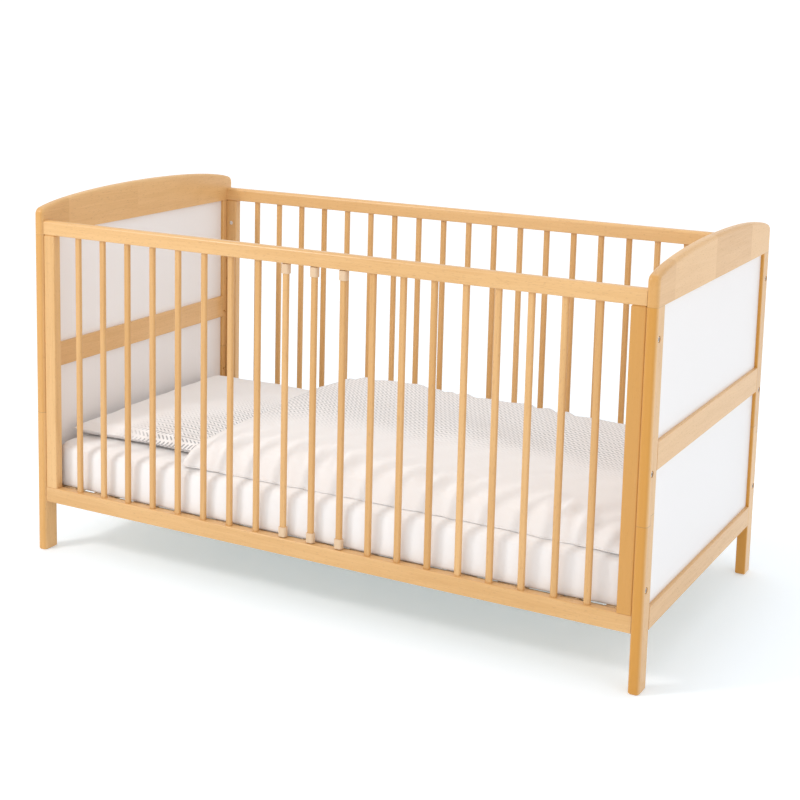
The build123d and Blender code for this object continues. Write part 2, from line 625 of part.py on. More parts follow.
def main():
    build_ends()
    build_sides()
    build_slip_bars()
    build_fasteners()
    build_base()
    build_bedding()
    os.makedirs("parts", exist_ok=True)
    for name, shape in nodes.items():
        export_step(shape, f"parts/{name}.step")
    print(f"{len(nodes)} nodes, {LENGTH:.0f} x {WIDTH:.0f} x {POST_HEIGHT + ARCH_MIDDLE_HEIGHT:.0f} mm")


main()
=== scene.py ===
# %% [markdown]
# # A wooden cot bed
# The bed's wood, boards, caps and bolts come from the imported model, where every piece already has its
# right place and size. This lesson gives each of them a finish, and makes the three soft things that a
# solid model can't show well: the mattress, the pillow and the duvet. Everything is in metres.

# %% Load the bed
import bpy, math
import numpy as np
from mathutils import Matrix, Vector


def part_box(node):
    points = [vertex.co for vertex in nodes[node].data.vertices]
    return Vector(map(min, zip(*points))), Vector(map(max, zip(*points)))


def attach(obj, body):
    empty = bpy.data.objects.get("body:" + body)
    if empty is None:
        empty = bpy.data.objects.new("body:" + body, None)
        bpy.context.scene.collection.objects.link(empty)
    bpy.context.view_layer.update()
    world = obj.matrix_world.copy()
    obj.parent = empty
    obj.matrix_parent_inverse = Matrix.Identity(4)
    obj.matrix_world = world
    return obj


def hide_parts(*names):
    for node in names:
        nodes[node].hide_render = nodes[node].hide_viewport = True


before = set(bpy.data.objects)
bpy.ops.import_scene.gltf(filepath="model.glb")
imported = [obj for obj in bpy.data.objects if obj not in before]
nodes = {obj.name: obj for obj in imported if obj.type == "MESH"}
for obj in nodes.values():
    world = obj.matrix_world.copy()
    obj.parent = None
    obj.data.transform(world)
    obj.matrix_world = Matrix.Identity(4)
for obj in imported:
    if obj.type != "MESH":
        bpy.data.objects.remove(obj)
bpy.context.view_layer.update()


# %% [markdown]
# ## Places
# The soft pieces take their sizes from the solids that they stand for, and the finishes take the places
# of joint lines from the wood itself, so nothing is measured twice.

# %% Places read from the model
def span(node, axis):
    """Lowest and highest coordinate of a node along one axis."""
    low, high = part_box(node)
    return low[axis], high[axis]


X, Y, Z = 0, 1, 2
MILLIMETRE = 0.001
mattress_low, mattress_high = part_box("mattress")
pillow_low, pillow_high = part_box("pillow")
duvet_low, duvet_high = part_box("duvet")
post_top = span("foot_rear_post_upper", Z)[1]
post_inner, post_outer = span("foot_rear_post_upper", Y)
post_middle = (post_inner + post_outer) / 2
splice_low = span("foot_rear_post_upper", Z)[0]
splice_high = span("foot_rear_post_lower", Z)[1]
bars_low, bars_high = span("rear_bars", X)
BARS_IN_A_SIDE = 19
SLIP_BARS = (1, 2, 3)
bar_width = span("slip_bar_1", X)[1] - span("slip_bar_1", X)[0]
bar_pitch = (bars_high - bars_low - bar_width) / (BARS_IN_A_SIDE - 1)
print("mattress top at", round(mattress_high.z, 3), "bars every", round(bar_pitch, 4), "m")


# %% [markdown]
# ## Camera
# A long lens from a little above the bed's rails, looking at the front and the foot end. The lens shift
# keeps the uprights nearly parallel, as an architect's camera does.

# %% Camera
AZIMUTH, ELEVATION, ROLL = (math.radians(d) for d in (29.9, 9.1, 1.0))
CAMERA_PLACE = Vector((1.579, -3.055, 1.293))
FOCAL_SHARE = 1.947            # focal length over the sensor's width
SENSOR_WIDTH = 36.0
LENS_SHIFT = (0.0875, -0.20)   # shares of the sensor's width


def camera_turn(azimuth, elevation, roll):
    """Columns of a turn that looks back along the given direction, rolled about it."""
    back = Vector((math.sin(azimuth) * math.cos(elevation), -math.cos(azimuth) * math.cos(elevation),
                   math.sin(elevation)))
    level = Vector((math.cos(azimuth), math.sin(azimuth), 0))
    above = back.cross(level)
    right = level * math.cos(roll) + above * math.sin(roll)
    return Matrix((right, back.cross(right), back)).transposed()


lens = bpy.data.cameras.new("camera")
lens.sensor_width = SENSOR_WIDTH
lens.lens = FOCAL_SHARE * SENSOR_WIDTH
lens.shift_x, lens.shift_y = LENS_SHIFT
camera = bpy.data.objects.new("camera", lens)
bpy.context.scene.collection.objects.link(camera)
camera.matrix_world = Matrix.Translation(CAMERA_PLACE) @ camera_turn(AZIMUTH, ELEVATION, ROLL).to_4x4()
bpy.context.scene.camera = camera
print("lens", round(lens.lens, 1), "mm")

# %% [markdown]
# ## Light and floor
# A white room gives most of the light. Three lamps add the direction: the strongest stands in front of
# the head end, and two weaker ones shine from the foot end and from above. The floor is a pale disc far
# wider than the bed, and its far rim rises like a shallow bowl, which hides the horizon.

# %% Light and floor
ROOM_WHITE = (1.0, 1.0, 1.0, 1.0)
ROOM_STRENGTH = 0.82
LAMPS = (   # name, place, height of the point it is aimed at, side of the square, power in watts
    ("foot_lamp", (4.0, -1.6, 3.2), 0.4, 2.0, 14),
    ("front_lamp", (-2.4, -3.0, 3.2), 0.4, 0.9, 62),
    ("top_lamp", (0.2, 0.6, 3.8), 0.3, 2.2, 15),
)
FLOOR_RADIUS = 60.0
BOWL_RADIUS, BOWL_RISE = 100.0, 16.0
BOWL_SIDES = 64

scene = bpy.context.scene
scene.view_settings.view_transform = "Standard"
room = bpy.data.worlds.new("room")
scene.world = room
room.use_nodes = True
sky = room.node_tree.nodes["Background"].inputs
sky["Color"].default_value = ROOM_WHITE
sky["Strength"].default_value = ROOM_STRENGTH


def soft_lamp(name, place, aim_height, size, power):
    """A square lamp at a place, turned towards a point over the frame's origin."""
    light = bpy.data.lights.new(name, "AREA")
    light.size = size
    light.energy = power
    lamp = bpy.data.objects.new(name, light)
    scene.collection.objects.link(lamp)
    lamp.location = place
    way = Vector((0, 0, aim_height)) - Vector(place)
    lamp.rotation_euler = way.to_track_quat("-Z", "Y").to_euler()


for lamp_values in LAMPS:
    soft_lamp(*lamp_values)

turns = np.linspace(0, 2 * np.pi, BOWL_SIDES, endpoint=False)
circle = np.stack([np.cos(turns), np.sin(turns), np.zeros(BOWL_SIDES)], -1)
rims = np.concatenate([FLOOR_RADIUS * circle, BOWL_RADIUS * circle + (0, 0, BOWL_RISE)])
here = np.arange(BOWL_SIDES)
there = (here + 1) % BOWL_SIDES
slopes = np.stack([here, here + BOWL_SIDES, there + BOWL_SIDES, there], -1)
floor_mesh = bpy.data.meshes.new("floor")
floor_mesh.from_pydata(rims.tolist(), [], [here.tolist()] + slopes.tolist())
floor = bpy.data.objects.new("floor", floor_mesh)
scene.collection.objects.link(floor)
print(len(LAMPS), "lamps and a floor")


# %% [markdown]
# ## Writing shader sums as Python
# A material is a small network of nodes. Wiring each sum by hand hides what it says, so one class wraps
# a node's output and turns +, -, * and / into Math nodes, and another adds any other node in one call.

# %% Shader helpers
class Wire:
    """One output of a shader node, on which ordinary sums can be written."""

    def __init__(self, finish, socket):
        self.finish = finish
        self.socket = socket

    def math(self, operation, first, second=0.0):
        """A Math node on two wires or numbers."""
        return self.finish.node("ShaderNodeMath", {"operation": operation}, {0: first, 1: second})

    def __add__(self, other):
        return self.math("ADD", self, other)

    def __radd__(self, other):
        return self.math("ADD", other, self)

    def __sub__(self, other):
        return self.math("SUBTRACT", self, other)

    def __rsub__(self, other):
        return self.math("SUBTRACT", other, self)

    def __mul__(self, other):
        return self.math("MULTIPLY", self, other)

    def __rmul__(self, other):
        return self.math("MULTIPLY", other, self)

    def __truediv__(self, other):
        return self.math("DIVIDE", self, other)

    def __rtruediv__(self, other):
        return self.math("DIVIDE", other, self)

    def __abs__(self):
        return self.math("ABSOLUTE", self)

    def __gt__(self, other):
        return self.math("GREATER_THAN", self, other)

    def __lt__(self, other):
        return self.math("LESS_THAN", self, other)

    def floor(self):
        return self.math("FLOOR", self)

    def fraction(self):
        return self.math("FRACT", self)

    def sine(self):
        return self.math("SINE", self)

    def highest(self, other):
        return self.math("MAXIMUM", self, other)

    def between(self, low, high):
        """0 below low, 1 above high and a smooth step in between."""
        return self.finish.node("ShaderNodeMapRange", {"interpolation_type": "SMOOTHSTEP"},
                                {"Value": self, "From Min": low, "From Max": high})


class Finish:
    """One material being made."""

    def __init__(self, name):
        self.material = bpy.data.materials.new(name)
        self.material.use_nodes = True
        self.tree = self.material.node_tree
        self.tree.nodes.clear()

    def node(self, kind, settings=None, sockets=None, output=0):
        """Any node: its settings first, then the values or links of its sockets."""
        made = self.tree.nodes.new(kind)
        for key, value in (settings or {}).items():
            setattr(made, key, value)
        for key, value in (sockets or {}).items():
            if isinstance(value, Wire):
                self.tree.links.new(value.socket, made.inputs[key])
            else:
                made.inputs[key].default_value = value
        return Wire(self, made.outputs[output]) if made.outputs else None

    def place(self):
        """The point on the object, in metres."""
        return self.node("ShaderNodeTexCoord", output="Object")

    def parts(self, vector):
        """The three numbers of a vector."""
        split = self.node("ShaderNodeSeparateXYZ", None, {0: vector})
        return [Wire(self, split.socket.node.outputs[i]) for i in range(3)]

    def vector(self, x, y, z):
        """A vector from three numbers."""
        return self.node("ShaderNodeCombineXYZ", None, {0: x, 1: y, 2: z})

    def stretched(self, point, scale, shift=(0, 0, 0)):
        """A point, stretched differently along each axis and then shifted."""
        return self.node("ShaderNodeMapping", None, {"Vector": point, "Scale": scale, "Location": shift})

    def noise(self, vector, scale, detail=2.0, roughness=0.5):
        """Soft random numbers from about 0.2 to 0.8; a higher scale makes smaller patches."""
        return self.node("ShaderNodeTexNoise", None,
                         {"Vector": vector, "Scale": scale, "Detail": detail, "Roughness": roughness})

    def blend(self, share, first, second):
        """A colour between two others."""
        return self.node("ShaderNodeMix", {"data_type": "RGBA"}, {0: share, 6: first, 7: second}, 2)

    def bump(self, height, depth):
        """A relief as deep as depth, in metres, where the height goes from 0 to 1."""
        return self.node("ShaderNodeBump", None, {"Height": height, "Distance": depth, "Strength": 1.0})

    def shader(self, colour, rough, constants, normal=None, metal=0.0):
        """The finished surface; constants are set on the shader's own sockets."""
        sockets = {"Base Color": colour, "Roughness": rough, "Metallic": metal, **constants}
        if normal:
            sockets["Normal"] = normal
        surface = self.node("ShaderNodeBsdfPrincipled", None, sockets)
        self.node("ShaderNodeOutputMaterial", None, {"Surface": surface})
        return self.material


print("shader helpers ready")

# %% [markdown]
# ## Floor paint
# A matt pale surface with a barely visible mottling, so that it doesn't look like empty paper. It glows
# a little: blue and faint under the bed, where that cools the shadow, and white far away.

# %% Floor paint
PALE_FLOOR = (0.930, 0.940, 0.955, 1)
PALER_FLOOR = (0.955, 0.965, 0.975, 1)
NEAR_GLOW = (0.130, 0.190, 0.235, 1)
FAR_GLOW = (0.26, 0.26, 0.26, 1)
GLOW_START, GLOW_END = 1.5, 5.0     # distances from the middle of the bed
MOTTLES = 3.0                       # patches in a metre, about

finish = Finish("floor_paint")
mottle = finish.noise(finish.place(), MOTTLES)
distance = finish.node("ShaderNodeVectorMath", {"operation": "LENGTH"}, {0: finish.place()}, "Value")
glow = finish.blend(distance.between(GLOW_START, GLOW_END), NEAR_GLOW, FAR_GLOW)
floor_mesh.materials.append(finish.shader(
    finish.blend(mottle, PALE_FLOOR, PALER_FLOOR), 0.6 + 0.1 * mottle,
    {"Emission Color": glow, "Emission Strength": 1.0}))
print("floor painted")


# %% [markdown]
# ## Lacquered beech
# Beech is a plain honey wood. Up close it shows fine fibres along the grain, broad soft bands from the
# growth rings, and thousands of short darker dashes, the rays. A thin clear lacquer lies on top. All of
# it is noise that is stretched along the grain, so one function makes the wood for every grain
# direction. Each piece gets its own shift and tone, because no two sticks come from one board. The
# arched rails are glued from staves, and the posts show a stepped joint line between their two lengths.

# %% Beech
LIGHT_BEECH = (0.785, 0.475, 0.200, 1)
DARK_BEECH = (0.615, 0.325, 0.100, 1)
# painted light: the orange below tints faces square to Y in place of the warm light on their lacquer
PAINTED_LIGHT_ORANGE = (0.610, 0.268, 0.024, 1)
RAY_BROWN = (0.430, 0.215, 0.080, 1)
JOINT_BROWN = (0.260, 0.140, 0.060, 1)

# Scale along the grain, scale across it and detail of each noise
FIGURE = (1.6, 34.0, 3.0)
FIBRE = (14.0, 900.0, 2.0)
RAYS = (95.0, 620.0, 1.0)
DRIFT = (1.1, 4.0, 1.0)
BEECH_ROUGHNESS = 0.55              # of the noises
RINGS = 9.0                         # rings from the figure's lowest to its highest
RAY_EDGES = (0.62, 0.70)
TONE_EDGES = (0.15, 0.95)
PAINTED_LIGHT_FACING_EDGES = (0.35, 0.95)         # how squarely a face looks along Y to take the orange tone
TONE_START = -0.22
BAR_CONTRAST, STAVE_CONTRAST = 0.30, 0.38
STAVE_LENGTH = 0.26
RAY_STRENGTH, LINE_STRENGTH = 0.34, 0.75
HALF_LINE = 0.7 * MILLIMETRE
BEECH_RELIEF = 0.06 * MILLIMETRE
BEECH_LACQUER = {"Coat Weight": 0.30, "Coat Roughness": 0.22, "IOR": 1.5}


def along(grain, lengthwise, across):
    """A stretch that is weak along the grain and strong across it."""
    return tuple(lengthwise if axis == grain else across for axis in range(3))


def joint_lines(y, z):
    """1 on a post's stepped joint line and under the arched rail, 0 elsewhere."""
    def line(distance):
        """1 on the line, falling smoothly to 0 half its width away."""
        return 1 - abs(distance).between(0.2 * HALF_LINE, HALF_LINE)

    inside = abs(y) < post_middle
    level = line(z - (splice_low + (splice_high - splice_low) * inside))
    riser = line(abs(y) - post_middle) * ((z > splice_low) * (z < splice_high))
    return level.highest(riser).highest(line(z - post_top))


def beech(name, grain, seed, tone=0.0, painted_light_share=0.0, per_bar=False, staves=False, splice=False):
    """Lacquered beech with its fibres along one axis.

    per_bar gives every bar of a side its own board, staves glues the rail from short lengths, and splice
    draws a post's joint lines.
    """
    finish = Finish(name)
    shift = (seed * 1.7, seed * 2.3, seed * 3.1)
    x, y, z = finish.parts(finish.place())
    chance = 0.5
    if per_bar:
        index = ((x - bars_low) / bar_pitch).floor()
        chance = finish.node("ShaderNodeTexWhiteNoise", {"noise_dimensions": "1D"}, {"W": index + seed})
        point = finish.vector(x + 3.0 * chance, y, z + 2.0 * chance)
    elif staves:
        wander = finish.noise(finish.stretched(finish.place(), (0, 0, 0.4)), 1.0)
        index = (y / STAVE_LENGTH + 0.25 * wander + seed).floor()
        chance = finish.node("ShaderNodeTexWhiteNoise", {"noise_dimensions": "1D"}, {"W": index})
        point = finish.vector(x + chance, y + 3.0 * chance, z + chance)
    else:
        point = finish.place()

    def pattern(lengthwise, across, detail):
        """Noise that is stretched along this piece's grain."""
        moved = finish.stretched(point, along(grain, lengthwise, across), shift)
        return finish.noise(moved, 1.0, detail, BEECH_ROUGHNESS)

    figure = pattern(*FIGURE)
    rings = ((figure * RINGS).fraction() - 0.5) * 2.0
    fibre = pattern(*FIBRE)
    rays = pattern(*RAYS).between(*RAY_EDGES)
    drift = pattern(*DRIFT)
    contrast = STAVE_CONTRAST if staves else BAR_CONTRAST
    share = (0.42 * figure + 0.10 * abs(rings) + 0.34 * fibre + 0.55 * drift + TONE_START + tone
             + contrast * (chance - 0.5))
    colour = finish.blend(share.between(*TONE_EDGES), LIGHT_BEECH, DARK_BEECH)
    colour = finish.blend(RAY_STRENGTH * rays, colour, RAY_BROWN)
    # painted light: faces that look along Y are tinted orange in place of the warm light on their
    # lacquer
    if painted_light_share:
        facing = finish.parts(finish.node("ShaderNodeNewGeometry", output="Normal"))[Y]
        colour = finish.blend(painted_light_share * abs(facing).between(*PAINTED_LIGHT_FACING_EDGES), colour, PAINTED_LIGHT_ORANGE)
    if splice:
        colour = finish.blend(LINE_STRENGTH * joint_lines(y, z), colour, JOINT_BROWN)
    rough = 0.34 + 0.10 * fibre + 0.08 * rays
    relief = finish.bump(0.5 * fibre - 0.6 * rays, BEECH_RELIEF)
    return finish.shader(colour, rough, BEECH_LACQUER, relief)


def paint(node, material):
    """Give a CAD node its one material."""
    slots = nodes[node].data.materials
    slots.clear()
    slots.append(material)


TONES = (0.00, 0.10, -0.06, 0.05, -0.10, 0.08, 0.03, -0.04)
# shares of painted light, an orange tint on faces square to Y, for the posts, the stiles and the arched
# rails
POST_PAINTED_LIGHT = {"head": 0.55, "foot": 0.95}
STILE_TONE = {"head": 0.04, "foot": 0.3}
STILE_PAINTED_LIGHT = {"head": 0.0, "foot": 0.6}
RAIL_TONE = -0.04
ARCH_TONE, ARCH_PAINTED_LIGHT = -0.06, 0.45
BAR_TONE = 0.22
SLIP_BAR_TONE, SLIP_BAR_TONE_STEP = 0.08, 0.05
seed = 0
for end in ("head", "foot"):
    for side in ("front", "rear"):
        for part in ("lower", "upper"):
            name = f"{end}_{side}_post_{part}"
            tone = TONES[seed % len(TONES)]
            paint(name, beech(f"beech_{name}", Z, seed, tone, POST_PAINTED_LIGHT[end], splice=True))
            seed += 1
        name = f"{end}_{side}_stile"
        tone = TONES[seed % len(TONES)] + STILE_TONE[end]
        paint(name, beech(f"beech_{name}", Z, seed, tone, STILE_PAINTED_LIGHT[end]))
        seed += 1
    for part in ("middle_rail", "bottom_rail"):
        tone = TONES[seed % len(TONES)] + RAIL_TONE
        paint(f"{end}_{part}", beech(f"beech_{end}_{part}", Y, seed, tone))
        seed += 1
    name = f"{end}_arched_rail"
    paint(name, beech(f"beech_{name}", Y, seed, ARCH_TONE, ARCH_PAINTED_LIGHT, staves=True))
    seed += 1
for side in ("front", "rear"):
    for part in ("top_rail", "bottom_rail"):
        tone = TONES[seed % len(TONES)]
        paint(f"{side}_{part}", beech(f"beech_{side}_{part}", X, seed, tone))
        seed += 1
for name in ("rear_bars", "front_bars_head", "front_bars_foot"):
    paint(name, beech(f"beech_{name}", Z, seed, BAR_TONE, per_bar=True))
    seed += 1
for number in SLIP_BARS:
    tone = SLIP_BAR_TONE_STEP * number + SLIP_BAR_TONE
    paint(f"slip_bar_{number}", beech(f"beech_slip_bar_{number}", Z, seed, tone))
    seed += 1
print(seed, "beech finishes")

# %% [markdown]
# ## Boards, caps and hidden wood
# The end panels are thin boards under white satin lacquer, which is never quite flat: a very shallow
# ripple and a trace of warmth. The slip bars' caps are moulded plastic, matt and faintly grained. The
# base is planed pine with wide growth bands, and the dowels are raw beech.

# %% White boards
SHADED_LACQUER = (0.850, 0.818, 0.808, 1)
LIGHT_LACQUER = (0.890, 0.860, 0.853, 1)
LACQUER_RIPPLES, LACQUER_CLOUDS = 140.0, 2.2
LACQUER_RELIEF = 0.05 * MILLIMETRE

finish = Finish("white_lacquer")
ripple = finish.noise(finish.place(), LACQUER_RIPPLES, 1.0)
cloud = finish.noise(finish.place(), LACQUER_CLOUDS, 1.0)
white_lacquer = finish.shader(
    finish.blend(cloud, SHADED_LACQUER, LIGHT_LACQUER), 0.36 + 0.10 * ripple,
    {"Coat Weight": 0.15, "Coat Roughness": 0.3}, finish.bump(ripple, LACQUER_RELIEF))
for end in ("head", "foot"):
    for part in ("upper_panel", "lower_panel"):
        paint(f"{end}_{part}", white_lacquer)
print("four boards")

# %% Beige caps
DARK_BEIGE = (0.690, 0.480, 0.300, 1)
LIGHT_BEIGE = (0.735, 0.530, 0.345, 1)
CAP_GRAINS, CAP_PATCHES = 1800.0, 60.0
CAP_RELIEF = 0.03 * MILLIMETRE

finish = Finish("beige_plastic")
grain = finish.noise(finish.place(), CAP_GRAINS)
patch = finish.noise(finish.place(), CAP_PATCHES, 1.0)
beige_plastic = finish.shader(
    finish.blend(patch, DARK_BEIGE, LIGHT_BEIGE), 0.50 + 0.12 * grain,
    {"Specular IOR Level": 0.4}, finish.bump(grain, CAP_RELIEF))
for number in SLIP_BARS:
    paint(f"slip_bar_top_cap_{number}", beige_plastic)
    paint(f"slip_bar_bottom_cap_{number}", beige_plastic)
print("six caps")

# %% Pine base and raw dowels
PALE_PINE = (0.800, 0.600, 0.365, 1)
LATE_PINE = (0.590, 0.350, 0.160, 1)
PINE_BANDS = (1.2, 26.0)            # scales along the grain and across it
PINE_FIBRE = (18.0, 700.0)
PINE_RINGS = 11.0
LATE_EDGES = (0.62, 0.98)
PINE_RELIEF = 0.12 * MILLIMETRE


def pine(name, grain, seed):
    """Raw planed pine: wide bands, darker latewood lines, a dry surface."""
    finish = Finish(name)
    bands = finish.noise(
        finish.stretched(finish.place(), along(grain, *PINE_BANDS), (seed, seed, seed)), 1.0)
    late = (bands * PINE_RINGS).fraction().between(*LATE_EDGES)
    fibre = finish.noise(finish.stretched(finish.place(), along(grain, *PINE_FIBRE)), 1.0)
    colour = finish.blend(0.55 * late + 0.2 * fibre, PALE_PINE, LATE_PINE)
    relief = finish.bump(fibre - 0.5 * late, PINE_RELIEF)
    return finish.shader(colour, 0.62 + 0.15 * fibre, {}, relief)


paint("base_slats", pine("pine_slats", Y, 1.0))
for index, name in enumerate(("front_base_beam", "rear_base_beam")):
    paint(name, pine(f"pine_{name}", X, 2.0 + index))
for index, name in enumerate(("head_base_beam", "foot_base_beam")):
    paint(name, pine(f"pine_{name}", Y, 4.0 + index))
for name in ("arched_rail_dowels", "side_frame_dowels"):
    paint(name, pine(f"raw_{name}", Z, 6.0))
print("base and dowels")


# %% [markdown]
# ## Zinc plated steel
# Bolts, cross nuts and screws have a bright plating with turning marks, slightly blue and slightly
# yellow in patches. Springs are drawn wire, darker and smoother.

# %% Steel
TURNING_MARKS = (2600.0, 300.0, 300.0)
PLATING_PATCHES = 120.0
STEEL_RELIEF = 0.01 * MILLIMETRE
YELLOW_ZINC, BLUE_ZINC = (0.78, 0.78, 0.75, 1), (0.60, 0.61, 0.64, 1)
LIGHT_WIRE, DARK_WIRE = (0.55, 0.55, 0.56, 1), (0.42, 0.42, 0.44, 1)
ZINC_ROUGHNESS, WIRE_ROUGHNESS = 0.24, 0.20


def steel(name, light, dark, rough):
    """Bright plated metal with fine machining marks."""
    finish = Finish(name)
    marks = finish.noise(finish.stretched(finish.place(), TURNING_MARKS), 1.0)
    patch = finish.noise(finish.place(), PLATING_PATCHES, 1.0)
    return finish.shader(finish.blend(patch, light, dark), rough + 0.18 * marks, {},
                         finish.bump(marks, STEEL_RELIEF), 1.0)


zinc = steel("zinc_plating", YELLOW_ZINC, BLUE_ZINC, ZINC_ROUGHNESS)
wire = steel("spring_wire", LIGHT_WIRE, DARK_WIRE, WIRE_ROUGHNESS)
for name in ("frame_bolts", "barrel_nuts", "base_corner_screws", "slat_screws", "base_support_pins"):
    paint(name, zinc)
for number in SLIP_BARS:
    paint(f"slip_bar_spring_{number}", wire)
unpainted = [name for name, node in nodes.items() if not node.data.materials or
             not node.data.materials[0].use_nodes]
print("steel done, without a finish:", unpainted)


# %% [markdown]
# ## Cotton
# Plain woven cotton is two sets of threads, one over the other. A sine along each axis gives the threads
# on every side of a cushion without any unwrapping. The duvet and the pillow carry a print of small grey
# dashes in slanting rows, which thins out into plain white.

# %% Cotton
WHITE_COTTON = (0.895, 0.875, 0.868, 1)
COTTON_LIGHTER = 1.03               # the lighter patches against the darker ones
COTTON_CLOUDS, COTTON_CRUMPLES = 5.0, 42.0
THREAD = 1.3 * MILLIMETRE
COTTON_RELIEF = 0.55 * MILLIMETRE
COTTON_CLOTH = {"Sheen Weight": 0.25, "Sheen Roughness": 0.5, "Specular IOR Level": 0.25}
DASH_GREY = (0.40, 0.40, 0.41, 1)
DASH_CELL = 11 * MILLIMETRE
DASH_LENGTH = 8.5 * MILLIMETRE
DASH_WIDTH = 3.2 * MILLIMETRE
DASH_SLANT = 1.3                    # run along the bed for each step across it
DASH_WOBBLE = 0.10                  # share of a cell
DASH_WOBBLES = 35.0
PRINT_STRENGTH = 0.95
DUVET_PRINT_EDGES = (-0.12, 0.06)
PILLOW_PRINT_EDGES = (-0.40, -0.24)


def weave(finish):
    """Height of the threads: the product of a sine along and a sine across."""
    x, y, z = finish.parts(finish.place())
    turn = 2 * math.pi / THREAD
    return (x * turn).sine() * (y * turn).sine() + 0.5 * (z * turn).sine()


def dashes(finish):
    """Short strokes in staggered rows that slant one way in odd rows and the other in even rows."""
    x, y = finish.parts(finish.place())[:2]
    wobble = finish.noise(finish.place(), DASH_WOBBLES, 1.0)
    v = y / DASH_CELL + DASH_WOBBLE * wobble
    row = v.floor()
    odd = ((row / 2.0).fraction() * 2.0).floor()
    u = x / DASH_CELL + 0.5 * odd + DASH_WOBBLE * wobble
    across = u.fraction() - 0.5
    up = v.fraction() - 0.5
    slant = DASH_SLANT - 2 * DASH_SLANT * odd
    side = across - slant * up
    stroke = 1 - (abs(side) * DASH_CELL).between(0.5 * DASH_WIDTH, DASH_WIDTH)
    return stroke * (1 - (abs(up) * DASH_CELL).between(0.4 * DASH_LENGTH, 0.5 * DASH_LENGTH))


def cotton(name, printed=None):
    """Woven cotton; printed(finish) gives how strongly the dashes show at a point."""
    finish = Finish(name)
    threads = weave(finish)
    cloud = finish.noise(finish.place(), COTTON_CLOUDS)
    crumple = finish.noise(finish.place(), COTTON_CRUMPLES, 3.0, 0.6)
    lighter = tuple(COTTON_LIGHTER * part for part in WHITE_COTTON[:3]) + (1,)
    colour = finish.blend(cloud, WHITE_COTTON, lighter)
    if printed:
        colour = finish.blend(dashes(finish) * printed(finish), colour, DASH_GREY)
    relief = finish.bump(0.10 * threads + 1.2 * crumple, COTTON_RELIEF)
    return finish.shader(colour, 0.80 + 0.10 * crumple, COTTON_CLOTH, relief)


def duvet_print(finish):
    """Full on the rear half of the top, fading out towards the front."""
    x, y = finish.parts(finish.place())[:2]
    drift = finish.noise(finish.place(), 7.0, 1.0)
    return PRINT_STRENGTH * (y + 0.16 * drift - 0.06 * x).between(*DUVET_PRINT_EDGES)


def pillow_print(finish):
    """Only towards the duvet and the front corner."""
    x, y = finish.parts(finish.place())[:2]
    drift = finish.noise(finish.place(), 9.0, 1.0)
    return PRINT_STRENGTH * (x - 0.55 * y + 0.10 * drift).between(*PILLOW_PRINT_EDGES)


mattress_cotton = cotton("mattress_cotton")
pillow_cotton = cotton("pillow_cotton", pillow_print)
duvet_cotton = cotton("duvet_cotton", duvet_print)
print("three cottons")


# %% [markdown]
# ## A box of even squares
# Each soft piece starts as the surface of a box cut into even squares, because cloth folds best when its
# squares are alike. The points keep whole-number places in the box, so the row of points that a seam
# follows can be found again after the simulation.

# %% The box lattice
class Lattice:
    """Surface of a box of nx by ny by nz squares, its corners shared."""

    def __init__(self, nx, ny, nz):
        self.size = np.array((nx, ny, nz))
        points, quads, count = [], [], 0
        for axis in range(3):
            a, b = [k for k in range(3) if k != axis]
            i, j = np.meshgrid(np.arange(self.size[a] + 1), np.arange(self.size[b] + 1), indexing="ij")
            corner = np.arange(i.size).reshape(i.shape)
            ring = np.stack([corner[:-1, :-1], corner[1:, :-1], corner[1:, 1:], corner[:-1, 1:]], -1)
            for level, flip in ((0, axis != 1), (self.size[axis], axis == 1)):
                side = np.zeros(i.shape + (3,), int)
                side[..., a], side[..., b], side[..., axis] = i, j, level
                points.append(side.reshape(-1, 3))
                quad = ring.reshape(-1, 4) + count
                quads.append(quad[:, ::-1] if flip else quad)
                count += i.size
        self.cells, lookup = np.unique(np.concatenate(points), axis=0, return_inverse=True)
        self.quads = lookup.reshape(-1)[np.concatenate(quads)]

    def shares(self):
        """Each point's place in the box, from -1 to 1 along each axis."""
        return 2.0 * self.cells / self.size - 1.0

    def seam(self, level):
        """Indices of the points round the four sides at one level, in order."""
        nx, ny = self.size[:2]
        i = np.concatenate([np.arange(nx), np.full(ny, nx), np.arange(nx, 0, -1), np.zeros(ny, int)])
        j = np.concatenate([np.zeros(nx, int), np.arange(ny), np.full(nx, ny), np.arange(ny, 0, -1)])
        wanted = np.stack([i, j, np.full(len(i), level)], -1)
        base = int(self.size.max()) + 1
        weights = (base ** 2, base, 1)
        key = self.cells @ weights
        order = np.argsort(key)
        return order[np.searchsorted(key[order], wanted @ weights)]


def make_piece(name, points, faces, material):
    """A mesh object from arrays of points and faces, shaded smooth, origin at the frame's origin."""
    mesh = bpy.data.meshes.new(name)
    mesh.from_pydata(points.tolist(), [], faces.tolist())
    mesh.polygons.foreach_set("use_smooth", np.ones(len(mesh.polygons), bool))
    mesh.materials.append(material)
    piece = bpy.data.objects.new(name, mesh)
    scene.collection.objects.link(piece)
    return piece


